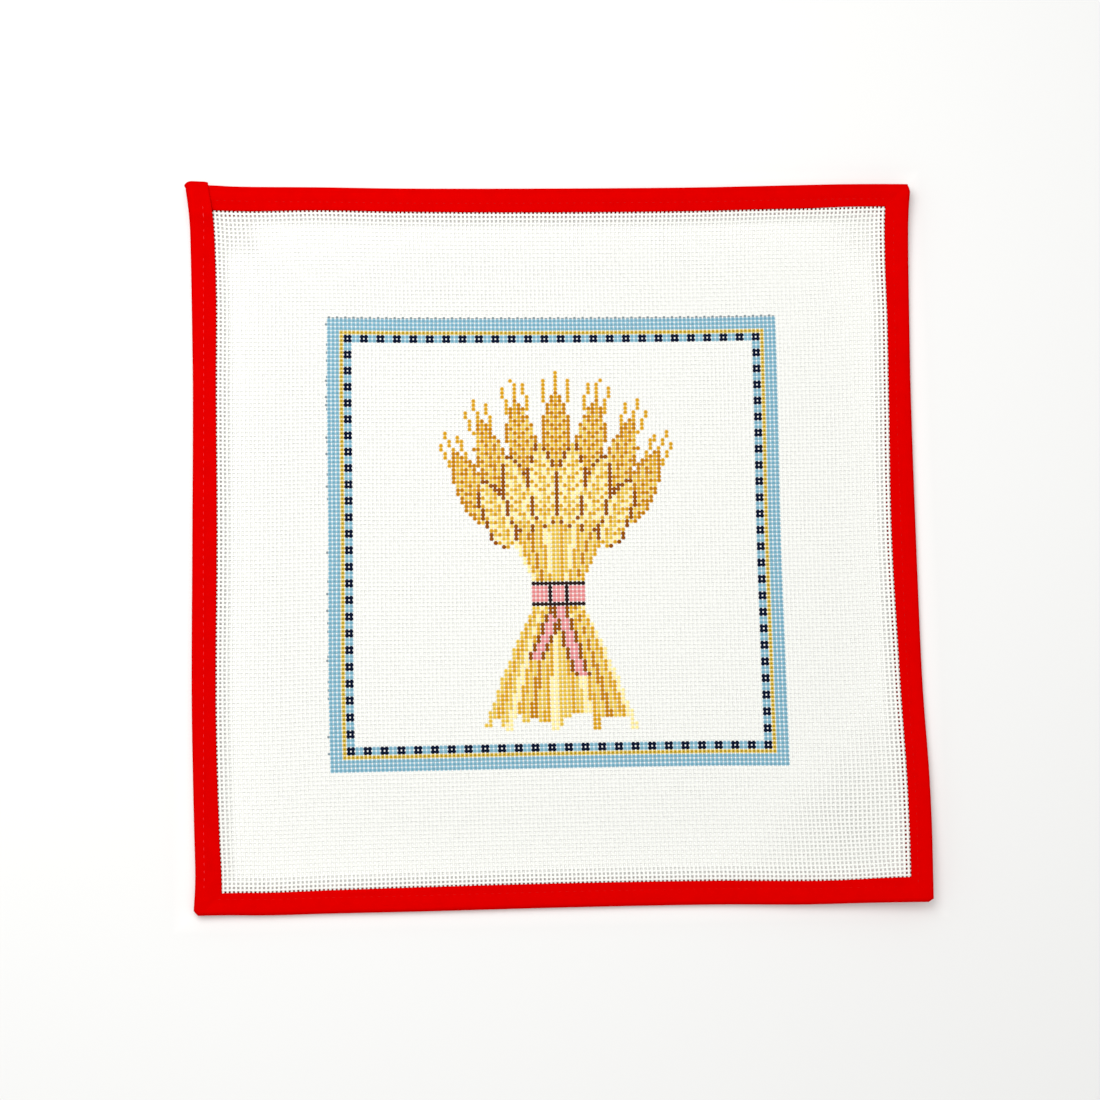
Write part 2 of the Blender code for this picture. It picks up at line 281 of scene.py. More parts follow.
# ================================================================ shapes of the panel
def smooth_step(value, start, end):
    """0 at start, 1 at end, and an even S between them."""
    share = np.clip((value - start) / (end - start), 0.0, 1.0)
    return share * share * (3.0 - 2.0 * share)


def along(values, place):
    """A smooth curve through one row of a table, read at places along the side."""
    values = np.array(values, float)
    last = len(PLACES) - 1
    knots = np.arange(last + 1)
    before, after = np.maximum(knots - 1, 0), np.minimum(knots + 1, last)
    slopes = (values[after] - values[before]) / (PLACES[after] - PLACES[before])
    place = np.clip(place, PLACES[0], PLACES[-1])
    cell = np.clip(np.searchsorted(PLACES, place, side="right") - 1, 0, last - 1)
    gap = PLACES[cell + 1] - PLACES[cell]
    share = (place - PLACES[cell]) / gap
    start, end = slopes[cell] * gap, slopes[cell + 1] * gap
    rise = values[cell + 1] - values[cell]
    return (
        values[cell]
        + share * start
        + share**2 * (3.0 * rise - 2.0 * start - end)
        + share**3 * (start + end - 2.0 * rise)
    )


def side_point(side, place, inward):
    """The plan point at a place along a side and a distance in from its fold line."""
    bow = along(BOW[side], place)
    if side == "top":
        return place, HALF_HEIGHT + bow - inward
    if side == "bottom":
        return place, -HALF_HEIGHT - bow + inward
    if side == "right":
        return HALF_WIDTH + bow - inward, place
    return -HALF_WIDTH - bow + inward, place


def face_edge(side, place):
    """The plan point of the inner edge of the tape's face at a place along a side."""
    return side_point(side, place, along(FACE_WIDTH[side], place))


def corner_point(upright, level, inward_upright, inward_level):
    """Where an upright side's and a level side's lines meet, each so far in from its fold."""
    x = HALF_WIDTH if upright == "right" else -HALF_WIDTH
    y = HALF_HEIGHT if level == "top" else -HALF_HEIGHT
    for _ in range(MEETING_ROUNDS):
        x = side_point(upright, y, inward_upright)[0]
        y = side_point(level, x, inward_level)[1]
    return x, y


def curl(x, y):
    """How far the corners' curl lifts the panel at a plan point."""
    lift = 0.0
    for toward_x, toward_y, rise, reach in CURLS:
        inset = np.maximum(HALF_WIDTH - toward_x * x, 0.0)
        inset = inset + np.maximum(HALF_HEIGHT - toward_y * y, 0.0)
        lift = lift + rise * np.maximum(1.0 - inset / reach, 0.0) ** 2
    return lift


def lap_raise(x, y):
    """How far the canvas is lifted at the lap, where one more layer of tape lies under it."""
    return LAYER * smooth_step(np.minimum(-x, y), *LAP_RAISE_PLACES)


def tape_bottom(side, x, y):
    """Height of the underside of the tape's back layer."""
    over_lap = smooth_step(-x, *LAP_STEP_PLACES) if side == "top" else 0.0
    return REST_HEIGHT + curl(x, y) + LAYER * over_lap


def tape_top(side, x, y):
    """Height of the tape's face."""
    over_lap = smooth_step(y, *LAP_STEP_PLACES) if side == "left" else 0.0
    canvas_top = curl(x, y) + lap_raise(x, y) + LAYER + CANVAS_THICKNESS
    return canvas_top + LAYER + LAYER * over_lap


def canvas_height(x, y):
    """Height of the middle of the canvas's weave."""
    edges = (
        side_point("right", y, 0.0)[0] - x,
        x - side_point("left", y, 0.0)[0],
        side_point("top", x, 0.0)[1] - y,
        y - side_point("bottom", x, 0.0)[1],
    )
    on_tape = 1.0 - smooth_step(np.minimum.reduce(edges), SLOPE_START, SLOPE_END)
    return CANVAS_THICKNESS / 2.0 + LAYER * on_tape + curl(x, y) + lap_raise(x, y)


# ================================================================ mesh helpers
def link(name, mesh):
    """A mesh as a piece of the scene."""
    piece = bpy.data.objects.new(name, mesh)
    bpy.context.scene.collection.objects.link(piece)
    return piece


def mesh_of(name, points, faces, materials):
    """A smooth-shaded mesh from points in millimetres."""
    mesh = bpy.data.meshes.new(name)
    mesh.from_pydata(np.asarray(points) * MM, [], faces)
    for material in materials:
        mesh.materials.append(material)
    mesh.shade_smooth()
    return mesh


# ================================================================ the painted chart
def ring_of_border(across, up):
    """The border's paints, by thread counts from its centre, and where they go."""
    depth = BORDER_HALF - np.maximum(abs(across), abs(up))
    paint = np.full(across.shape, "bare", dtype=NAME_TYPE)
    paint[(depth >= 0) & (depth < BAND_THREADS)] = "light_blue"
    paint[depth == BAND_THREADS] = "gold"
    # A darker rim of dots along the band's top edge and, with gaps, along its left one.
    gaps = np.random.default_rng(SEED).random(across.shape) < RIM_GAPS
    paint[(depth == -1) & ((up > abs(across)) | ((-across > abs(up)) & ~gaps))] = "rim"
    checks = (depth >= CHECK_START) & (depth < CHECK_END)
    paint[checks] = "light_blue"
    outer = BORDER_HALF - CHECK_START
    run = np.where(abs(up) > abs(across), across, up) + outer
    corner = np.minimum(abs(across), abs(up)) > outer - CHECK_THREADS
    dark = ((run // CHECK_THREADS) % 2 == 0) | corner
    paint[checks & dark] = "navy"
    return paint


class Chart:
    """The paint of every crossing, by column from the left and row from the bottom."""

    def __init__(self):
        places = np.arange(THREADS) - MIDDLE
        across, up = np.meshgrid(places, places, indexing="ij")
        self.paint = ring_of_border(across, up)
        self.across, self.up = across - MOTIF_CENTRE[0], up - MOTIF_CENTRE[1]

    def fan(self, start, start_half, end, end_half, stalks, ragged, first_tone):
        """Stalks that spread from one level to another, their far ends ragged."""
        share = (self.up - start) / (end - start)
        half = start_half + (end_half - start_half) * np.clip(share, 0.0, 1.0) ** FAN_CURVE
        stalk = np.clip(((self.across + half) / (2.0 * half) * stalks).astype(int), 0, stalks - 1)
        cut = np.random.default_rng(SEED).uniform(0.0, ragged, stalks)[stalk]
        inside = (share >= 0) & (share <= 1) & (abs(self.across) <= half)
        inside &= abs(self.up - end) >= cut
        tones = np.array(STALK_PATTERN)[(stalk + first_tone) % len(STALK_PATTERN)]
        self.paint[inside] = tones[inside]

    def by_ray(self, lean, start=0.0):
        """Distances along and off a ray from the focus, beginning so far up it."""
        turn, above = radians(lean), self.up - FOCUS_UP
        along_ray = self.across * sin(turn) + above * cos(turn)
        return along_ray - start, self.across * cos(turn) - above * sin(turn)

    def ear(self, lean, tip, length, paints):
        """A wheat ear on a ray from the focus: chevrons of grains inside a darker rim."""
        grain, between, light, rim = paints
        distance, off = self.by_ray(lean)
        off = abs(off)
        share = (tip - distance) / length
        half = EAR_HALF * np.clip(share / EAR_TIP[0], 0.0, 1.0) ** EAR_TIP[1]
        half = half * np.clip((1.0 - share) / EAR_FOOT[0], 0.0, 1.0) ** EAR_FOOT[1]
        inside = (share >= 0) & (share <= 1) & (off <= half)
        chevron = (tip - distance + GRAIN_SLANT * off) % GRAIN_SPACING
        self.paint[inside] = grain
        self.paint[inside & (chevron > GRAIN_SPACING / 2.0) & (off > EAR_SPINE)] = light
        self.paint[inside & (chevron < GRAIN_GAP)] = between
        self.paint[inside & (off > half - EAR_RIM)] = rim

    def bristles(self, lean, tip):
        """Fine bristles past an ear's tip, one thread wide."""
        for turn, length in BRISTLES:
            distance, off = self.by_ray(lean + turn, tip - BRISTLE_START)
            inside = (distance >= 0) & (distance <= length) & (abs(off) <= BRISTLE_HALF)
            self.paint[inside] = "honey"

    def ribbon(self):
        """The tie: a band with dark edges, a knot and two tails."""
        low, high = TIE
        outer, inner = RIBBON_HALVES
        band = (self.up >= low) & (self.up <= high) & (abs(self.across) <= TIE_HALF)
        self.paint[band] = "rose"
        self.paint[band & ((self.up == low) | (self.up == high))] = "dark"
        for slope, length in RIBBON_TAILS:
            down = low - self.up
            off = abs(self.across - slope * down)
            tail = (down >= 0) & (down <= length)
            self.paint[tail & (off <= outer)] = "brown"
            self.paint[tail & (off <= inner)] = "rose"
        self.paint[band & (abs(self.across) <= outer)] = "dark"
        between = (self.up > low) & (self.up < high)
        self.paint[between & (abs(self.across) <= inner)] = "rose"


def painted_chart():
    """The border, and in its middle a tied sheaf of wheat."""
    chart = Chart()
    chart.fan(*FAN_BELOW)
    chart.fan(*FAN_ABOVE)
    for lean, tip, length, paints in EARS:
        for hand in (-1, 1):
            if paints is BACK_EAR:
                chart.bristles(hand * lean, tip)
            chart.ear(hand * lean, tip, length, paints)
    chart.ribbon()
    return chart.paint


# ================================================================ the woven canvas
def fabric_point(across, up):
    """Plan point of the canvas, by thread counts from the border's centre.

    The weave follows the four inner edges of the tape's face, blended across the panel.
    """
    left, right, bottom, top = (FACE_EDGES[side] for side in ("left", "right", "bottom", "top"))
    s, t = (across - left) / (right - left), (up - bottom) / (top - bottom)
    corners = {
        (upright, level): inner_corner(upright, level)
        for upright in ("left", "right")
        for level in HORIZONTAL
    }

    def edge(side):
        if side in HORIZONTAL:
            start, end = corners["left", side][0], corners["right", side][0]
            return face_edge(side, start + (end - start) * s)
        start, end = corners[side, "bottom"][1], corners[side, "top"][1]
        return face_edge(side, start + (end - start) * t)

    point = []
    for axis in (0, 1):
        sideways = (1.0 - s) * edge("left")[axis] + s * edge("right")[axis]
        upward = (1.0 - t) * edge("bottom")[axis] + t * edge("top")[axis]
        low = (1.0 - s) * corners["left", "bottom"][axis] + s * corners["right", "bottom"][axis]
        high = (1.0 - s) * corners["left", "top"][axis] + s * corners["right", "top"][axis]
        point.append(sideways + upward - (1.0 - t) * low - t * high)
    return [place + drift(table, across, up) for place, table in zip(point, DRIFTS)]


def drift(table, across, up):
    """A drift table's value at a thread place, fading to nothing at the tape's edges."""
    share_right, share_up = across / BORDER_HALF, up / BORDER_HALF

    def through(values, share):
        before, middle, after = values
        return middle + (after - before) / 2.0 * share + ((after + before) / 2.0 - middle) * share**2

    rows = [through(row, share_right) for row in reversed(table)]
    outward = np.maximum(abs(across), abs(up))
    return through(rows, share_up) * (1.0 - smooth_step(outward, BORDER_HALF, THREADS / 2.0 - 2.0))


def inner_corner(upright, level):
    """Where the inner edges of two sides of the tape's face meet."""
    x, y = corner_point(upright, level, FACE_MEAN, FACE_MEAN)
    for _ in range(MEETING_ROUNDS):
        x, y = face_edge(upright, y)[0], face_edge(level, x)[1]
    return x, y


def wander(rng, lines, stations):
    """Small sideways wander of each thread, in threads."""
    offset = rng.uniform(-0.5, 0.5, (len(lines), 1)) * np.ones(len(stations))
    for length in WANDER_LENGTHS:
        phase = rng.uniform(0.0, 2.0 * pi, (len(lines), 1))
        offset = offset + np.sin(2.0 * pi * stations / length + phase) / len(WANDER_LENGTHS)
    return THREAD_WANDER * offset


def thread_points(upright, rng):
    """Points round every thread of one direction: threads × stations × sides × (x, y, z).

    The stations are the crossings and the middles between them.
    """
    lines = np.arange(THREADS) - MIDDLE
    stations = np.arange(2 * THREADS + 1) / 2.0 - THREADS / 2.0
    line = lines[:, None] + wander(rng, lines, stations)
    station = np.ones((THREADS, 1)) * stations
    over = np.where(np.arange(THREADS) % 2 == 0, 1.0, -1.0)[:, None] * np.sin(pi * stations)
    if not upright:
        over = -over
    half = (WARP_WIDTH if upright else WEFT_WIDTH) / 2.0 / PITCH
    hand = 1.0 if upright else -1.0
    points = []
    for sideways, rise in SECTION:
        shifted = line + hand * sideways * half
        x, y = fabric_point(shifted, station) if upright else fabric_point(station, shifted)
        z = canvas_height(x, y) + WEAVE_AMPLITUDE * over + rise * THREAD_HEIGHT / 2.0
        points.append(np.stack((x, y, z), axis=-1))
    return np.stack(points, axis=2)


def thread_faces(threads, stations):
    """Quads of the threads' sides and two end caps each, as point numbers."""
    thread, step, side = np.meshgrid(
        np.arange(threads), np.arange(stations - 1), np.arange(SIDES), indexing="ij"
    )
    after = (side + 1) % SIDES

    def number(at, corner):
        return (thread * stations + at) * SIDES + corner

    quads = np.stack(
        (number(step, side), number(step + 1, side), number(step + 1, after), number(step, after)),
        axis=-1,
    ).reshape(-1, 4)
    first = np.arange(threads)[:, None] * stations * SIDES + np.arange(SIDES)
    last = (first + (stations - 1) * SIDES)[:, ::-1]
    return np.concatenate((quads, first, last))


def bake_places(threads, stations):
    """A UV map for baking: each thread's four sides are four narrow rows, one over another."""
    thread, step, side = np.meshgrid(
        np.arange(threads), np.arange(stations - 1), np.arange(SIDES), indexing="ij"
    )
    row = thread * SIDES + side
    u = np.stack((step, step + 1, step + 1, step), axis=-1) / (stations - 1)
    v = np.stack((row, row, row + 1, row + 1), axis=-1) / (threads * SIDES)
    sides = np.stack((u, v), axis=-1).reshape(-1, 2)
    low, high = BAKE_CAP
    corners = np.array(((low, low), (high, low), (high, high), (low, high)))
    starts = np.stack((np.zeros(threads), np.arange(threads) * SIDES), axis=-1)
    caps = (starts[:, None] + corners) / (stations - 1, threads * SIDES)
    return np.concatenate((sides, caps.reshape(-1, 2), caps.reshape(-1, 2)))


def half_steps(paint):
    """The paint of each half step along the threads; the rim only touches the band."""
    halves = np.repeat(paint, 2, axis=1)
    band = halves == "light_blue"
    by_band = np.roll(band, 1, axis=1) | np.roll(band, -1, axis=1)
    halves[(halves == "rim") & ~by_band] = "bare"
    return halves


def thread_set(name, points, paint, materials):
    """One piece of neighbouring threads, with a material for each paint."""
    threads, stations = points.shape[:2]
    faces = thread_faces(threads, stations)
    mesh = mesh_of(name, points.reshape(-1, 3), faces, materials.values())
    order = {paint_name: number for number, paint_name in enumerate(materials)}
    numbers = np.vectorize(order.get)(half_steps(paint))
    sides = np.repeat(numbers[:, :, None], SIDES, axis=2).ravel()
    caps = np.full(2 * threads, order["bare"])
    mesh.polygons.foreach_set("material_index", np.concatenate((sides, caps)).astype(np.int32))
    knuckles = np.ones(points.shape[:3]) * (np.arange(stations) % 2)[:, None]
    mesh.attributes.new(KNUCKLE, "FLOAT", "POINT").data.foreach_set("value", knuckles.ravel())
    uv_map = mesh.uv_layers.new(name=BAKE_MAP)
    uv_map.data.foreach_set("uv", bake_places(threads, stations).ravel())
    return link(name, mesh)


def build_canvas():
    """The canvas as three sets of upright threads and three of level ones."""
    rng = np.random.default_rng(SEED)
    chart = painted_chart()
    materials = {name: thread_material(name, *tones) for name, tones in PAINTS.items()}
    sets = []
    count = THREADS // SETS
    for direction, positions in (
        ("warp", ("left", "middle", "right")),
        ("weft", ("bottom", "centre", "top")),
    ):
        upright = direction == "warp"
        points = thread_points(upright, rng)
        paint = chart if upright else chart.T
        for number, position in enumerate(positions):
            part = slice(number * count, (number + 1) * count)
            sets.append(
                thread_set(f"canvas_{direction}_{position}", points[part], paint[part], materials)
            )
    return sets


# ================================================================ the folded tape
def section(side, place):
    """The tape's outer surface round the edge: steps in from the fold line, and the turn.

    Each entry is the distance in from the fold line and the height as a share of the way
    from the tape's underside, 0, to its face, 1.
    """
    x, y = side_point(side, place, 0.0)
    half_height = (tape_top(side, x, y) - tape_bottom(side, x, y)) / 2.0
    depth = half_height * FOLD_DEPTH_RATIO
    face = along(FACE_WIDTH[side], place)
    back = face + BACK_REACH[side]
    level = face - FACE_PRESS[-1][0] - depth
    front_layer = [(face - inset, 1.0 - drop / 2.0 / half_height) for inset, drop in FACE_PRESS]
    front_layer += [
        (depth + level * (1.0 - step / FRONT_STEPS), 1.0) for step in range(1, FRONT_STEPS)
    ]
    turns = [pi * (0.5 - step / FOLD_STEPS) for step in range(FOLD_STEPS + 1)]
    fold = [(depth * (1.0 - cos(turn)), 0.5 + 0.5 * sin(turn)) for turn in turns]
    back_layer = [
        (depth + (back - depth) * step / BACK_STEPS, 0.0) for step in range(1, BACK_STEPS + 1)
    ]
    return front_layer + fold + back_layer


def spaced_shares(length, near_end, far_end, middle_steps):
    """Places along a length as shares of it: close together near both ends, then even."""
    span = length - near_end[-1] - far_end[-1]
    middle = [near_end[-1] + span * step / middle_steps for step in range(1, middle_steps)]
    places = [*near_end, *middle, *(length - end for end in reversed(far_end))]
    return [place / length for place in places]


def mitre(upright, level):
    """The station on a corner's diagonal, drawn in to the middle of the corner's flat."""
    toward_x = 1 if upright == "right" else -1
    toward_y = 1 if level == "top" else -1
    flat_x, flat_y = CORNER_FLATS[upright, level]
    upright_rows = section(upright, toward_y * HALF_HEIGHT)
    level_rows = section(level, toward_x * HALF_WIDTH)
    station = []
    for (inward_x, share), (inward_y, _) in zip(upright_rows, level_rows):
        x, y = corner_point(upright, level, inward_x, inward_y)
        left_over = max(1.0 - min(inward_x, inward_y) / FLAT_FADE, 0.0) / 2.0
        x -= toward_x * flat_x * left_over
        y -= toward_y * flat_y * left_over
        station.append((x, y, share))
    return station


def tape_start():
    """The cut end of the top strip, inside the left strip's fold."""
    edge = side_point("left", HALF_HEIGHT, 0.0)[0] + TAPE_START_INSET
    rows = section("top", edge)
    return [(*side_point("top", edge, inward), share) for inward, share in rows]


def tape_end():
    """The cut end of the left strip, which laps over the top strip."""
    rows = section("left", LAP_END)
    fold_dip, inner_dip = LAP_END_DIPS
    fold_reach, inner_reach = LAP_DIP_REACHES
    face_edge_inset = rows[0][0]
    station = []
    for inward, share in rows:
        by_fold = max(1.0 - inward / fold_reach, 0.0) ** 2
        past_inner = max(inward - face_edge_inset + inner_reach, 0.0)
        dip = fold_dip * by_fold + inner_dip * past_inner
        end = LAP_END - min(dip, max(LAP_END_DIPS))
        x, y = side_point("left", end, inward)
        station.append((x - LAP_EAR * by_fold, y, share))
    return station


def end_stations(side, corner):
    """Distances of the stations near one end of a side, from that end."""
    flat = CORNER_FLATS.get(corner)
    if flat is None:
        return (CUT_END_STATION, *CORNER_STATIONS)
    return (flat[0 if side in HORIZONTAL else 1] / 2.0, *CORNER_STATIONS)


def strip_stations(side, first, last, corners):
    """The stations along one side, between those at its two ends."""
    axis = 0 if side in HORIZONTAL else 1
    fold_row = len(FACE_PRESS) + FRONT_STEPS - 1 + FOLD_STEPS // 2
    start, end = first[fold_row][axis], last[fold_row][axis]
    near_end, far_end = (end_stations(side, corner) for corner in corners)
    stations = []
    for part in spaced_shares(abs(end - start), near_end, far_end, MIDDLE_STEPS):
        rows = section(side, start + (end - start) * part)
        station = []
        for (inward, share), first_row, last_row in zip(rows, first, last):
            place = first_row[axis] + (last_row[axis] - first_row[axis]) * part
            station.append((*side_point(side, place, inward), share))
        stations.append(station)
    return stations


def raised(side, station, first):
    """A station's points with their heights, higher by the mitre's step near its corner."""
    axis = 0 if side in HORIZONTAL else 1
    points = []
    for (x, y, share), corner in zip(station, first):
        bottom, top = tape_bottom(side, x, y), tape_top(side, x, y)
        past = abs((x, y)[axis] - corner[axis])
        step = MITRE_STEPS.get(side, 0.0) * smooth_step(past, 0.0, MITRE_WIDTH)
        step *= share * (1.0 - smooth_step(past, 2.0 * MITRE_WIDTH, MITRE_FADE))
        points.append((x, y, bottom + (top - bottom) * share + step))
    return points


def tape_surface():
    """The tape's outer surface: a row of points across it at each station of its run."""
    stops = [None, *CORNER_FLATS, None]
    stations = [tape_start(), *(mitre(*corner) for corner in CORNER_FLATS), tape_end()]
    surface = []
    for run, side in enumerate(("top", "right", "bottom", "left")):
        first, last = stations[run], stations[run + 1]
        between = strip_stations(side, first, last, stops[run : run + 2])
        surface += [raised(side, station, first) for station in (first, *between)]
    surface.append(raised("left", stations[-1], stations[-2]))
    return np.array(surface, float)


def grid_faces(rows, columns):
    """Quads between the rows of a grid of points, as point numbers."""
    row, column = np.meshgrid(np.arange(rows - 1), np.arange(columns - 1), indexing="ij")
    corner = (row * columns + column).ravel()
    return np.stack((corner, corner + 1, corner + columns + 1, corner + columns), axis=1)


def build_tape():
    """The binding tape: one folded strip, thickened inwards from its outer surface."""
    points = tape_surface()
    rows, columns = points.shape[:2]
    faces = grid_faces(rows, columns)
    mesh = mesh_of("binding_tape", points.reshape(-1, 3), faces, [tape_material()])
    tape = link("binding_tape", mesh)
    solid = tape.modifiers.new("Thickness", "SOLIDIFY")
    solid.thickness = TAPE_THICKNESS * MM
    solid.offset = 1.0
    solid.use_even_offset = True
    return tape


# ================================================================ the machine stitches
def stitch_points(side, place, on_face):
    """Rings of points round one stitch, which dives into the tape at both ends."""
    inset = along(STITCH_INSETS[side], place)
    drop = np.interp(along(FACE_WIDTH[side], place) - inset, *np.transpose(FACE_PRESS))
    rings = []
    for step in range(STITCH_STEPS + 1):
        turn = pi * step / STITCH_STEPS
        run = place - STITCH_LENGTH / 2.0 * cos(turn)
        x, y = side_point(side, run, inset)
        radius = STITCH_RADIUS * (STITCH_TAPER + (1.0 - STITCH_TAPER) * sin(turn))
        sink = STITCH_RADIUS * (1.0 + STITCH_DIVE * (1.0 - sin(turn))) - STITCH_PROUD * sin(turn)
        level = tape_top(side, x, y) - drop - sink if on_face else tape_bottom(side, x, y) + sink
        ring = []
        for corner in range(STITCH_SIDES):
            angle = 2.0 * pi * corner / STITCH_SIDES
            sideways, up = radius * cos(angle), radius * sin(angle)
            if side in HORIZONTAL:
                ring.append((x, y + sideways, level + up))
            else:
                ring.append((x + sideways, y, level + up))
        rings.append(ring)
    return rings


def stitch_places(side):
    """Where the stitches' middles are along one side."""
    half = (HALF_WIDTH if side in HORIZONTAL else HALF_HEIGHT) - STITCH_END
    count = int(2.0 * half / STITCH_PITCH)
    return [-half + STITCH_PITCH * (number + 0.5) for number in range(count)]


def build_stitches():
    """The machine stitches on the tape's face and on its back layer."""
    form = bmesh.new()
    for side in STITCH_INSETS:
        for place in stitch_places(side):
            for on_face in (True, False):
                # The left side's stitches take the second material, the lighter red that is a
                # painted highlight.
                add_tube(form, stitch_points(side, place, on_face), int(side == "left"))
    bmesh.ops.recalc_face_normals(form, faces=form.faces)
    mesh = bpy.data.meshes.new("binding_stitches")
    form.to_mesh(mesh)
    form.free()
    mesh.shade_smooth()
    for name, colour in STITCH_TONES.items():
        mesh.materials.append(stitch_material(name, colour))
    return link("binding_stitches", mesh)


def add_tube(form, rings, material):
    """A closed tube through rings of points in millimetres, with a material's number."""
    grid = [[form.verts.new(Vector(map(float, point)) * MM) for point in ring] for ring in rings]
    faces = [form.faces.new(reversed(grid[0])), form.faces.new(grid[-1])]
    for near, far in zip(grid, grid[1:]):
        for corner in range(STITCH_SIDES):
            after = (corner + 1) % STITCH_SIDES
            faces.append(form.faces.new((near[corner], near[after], far[after], far[corner])))
    for face in faces:
        face.material_index = material


# ================================================================ materials
class Nodes:
    """Short names for adding and linking nodes of one material."""

    def __init__(self, name):
        self.material = bpy.data.materials.new(name)
        self.material.use_nodes = True
        self.tree = self.material.node_tree
        self.shader = self.tree.nodes["Principled BSDF"]

    def add(self, kind, **settings):
        node = self.tree.nodes.new(kind)
        for name, value in settings.items():
            setattr(node, name, value)
        return node

    def link(self, source, target):
        self.tree.links.new(source, target)

    def place(self):
        return self.add("ShaderNodeTexCoord").outputs["Object"]

    def noise(self, scale, detail=2.0, roughness=0.5):
        node = self.add("ShaderNodeTexNoise")
        node.inputs["Scale"].default_value = scale
        node.inputs["Detail"].default_value = detail
        node.inputs["Roughness"].default_value = roughness
        self.link(self.place(), node.inputs["Vector"])
        return node.outputs["Fac"]

    def between(self, value, low, high):
        """Maps a 0 to 1 value onto low to high."""
        node = self.add("ShaderNodeMapRange")
        node.inputs["To Min"].default_value = low
        node.inputs["To Max"].default_value = high
        self.link(value, node.inputs["Value"])
        return node.outputs["Result"]

    def tones(self, value, *stops):
        """A colour ramp of (position, colour) stops."""
        node = self.add("ShaderNodeValToRGB")
        ramp = node.color_ramp
        for number, (position, colour) in enumerate(stops):
            spot = ramp.elements[number] if number < 2 else ramp.elements.new(position)
            spot.position = position
            spot.color = (*colour, 1.0)
        self.link(value, node.inputs["Fac"])
        return node.outputs["Color"]

    def bump(self, height, strength, depth_mm):
        node = self.add("ShaderNodeBump")
        node.inputs["Strength"].default_value = strength
        node.inputs["Distance"].default_value = depth_mm * MM
        self.link(height, node.inputs["Height"])
        self.link(node.outputs["Normal"], self.shader.inputs["Normal"])

    def math(self, operation, first, second):
        """The result of a sum on two numbers or outputs of nodes."""
        node = self.add("ShaderNodeMath", operation=operation)
        for number, value in enumerate((first, second)):
            if isinstance(value, float):
                node.inputs[number].default_value = value
            else:
                self.link(value, node.inputs[number])
        return node.outputs["Value"]


def grey(value):
    return (value,) * 3


def shade(colour, factor):
    """A colour made darker or lighter."""
    return tuple(min(channel * factor, 1.0) for channel in colour)


def thread_material(name, thick, thin):
    """Stiffened cotton, bare or under a coat of paint."""
    nodes = Nodes(f"canvas_{name}")
    shader = nodes.shader
    low, high = KNUCKLE_EDGE
    knuckle = nodes.add("ShaderNodeAttribute", attribute_name=KNUCKLE).outputs["Fac"]
    blotches = nodes.noise(scale=900.0, detail=3.0)
    spread = BARE_SPREAD if name == "bare" else PAINT_SPREAD
    uneven = nodes.tones(blotches, (0.3, grey(1.0 - spread)), (0.7, grey(1.0)))
    coat = nodes.add("ShaderNodeMix", data_type="RGBA", blend_type="MULTIPLY")
    coat.inputs["Factor"].default_value = 1.0
    nodes.link(nodes.tones(knuckle, (low, thin), (high, thick)), coat.inputs["A"])
    nodes.link(uneven, coat.inputs["B"])
    nodes.link(coat.outputs["Result"], shader.inputs["Base Color"])
    nodes.link(nodes.between(blotches, 0.6, 0.8), shader.inputs["Roughness"])
    fibres = nodes.noise(scale=5200.0, detail=3.0, roughness=0.6)
    nodes.bump(fibres, strength=0.2, depth_mm=0.04)
    shader.inputs["Specular IOR Level"].default_value = 0.02
    return nodes.material


def tape_material():
    """Plain-woven red cotton tape."""
    nodes = Nodes("red_tape")
    shader = nodes.shader
    slubs = nodes.noise(scale=260.0, detail=4.0, roughness=0.6)
    tone = nodes.tones(slubs, (0.3, shade(RED, 0.97)), (0.7, shade(RED, 1.03)))
    nodes.link(tone, shader.inputs["Base Color"])
    nodes.link(nodes.between(slubs, 0.75, 0.9), shader.inputs["Roughness"])
    weave = []
    for direction in ("X", "Y"):
        wave = nodes.add("ShaderNodeTexWave", bands_direction=direction)
        wave.inputs["Scale"].default_value = 900.0
        wave.inputs["Distortion"].default_value = 0.6
        nodes.link(nodes.place(), wave.inputs["Vector"])
        weave.append(wave.outputs["Fac"])
    nodes.bump(nodes.math("MULTIPLY", *weave), strength=0.3, depth_mm=0.05)
    shader.inputs["Specular IOR Level"].default_value = 0.0
    return nodes.material


def stitch_material(name, light):
    """Twisted sewing thread, a touch lighter than the tape."""
    nodes = Nodes(name)
    shader = nodes.shader
    twist = nodes.add("ShaderNodeTexWave", bands_direction="DIAGONAL")
    twist.inputs["Scale"].default_value = 1200.0
    nodes.link(nodes.place(), twist.inputs["Vector"])
    tone = nodes.tones(twist.outputs["Fac"], (0.0, shade(light, 0.8)), (1.0, light))
    nodes.link(tone, shader.inputs["Base Color"])
    nodes.link(nodes.between(twist.outputs["Fac"], 0.5, 0.7), shader.inputs["Roughness"])
    nodes.bump(twist.outputs["Fac"], strength=0.4, depth_mm=0.05)
    shader.inputs["Specular IOR Level"].default_value = 0.06
    return nodes.material


def by_distance(nodes, distance, stops):
    """The colour at a distance in shares of the ramps' span, from stops in millimetres."""
    return nodes.tones(distance, *((reach / RAMP_SPAN, colour) for reach, colour in stops))


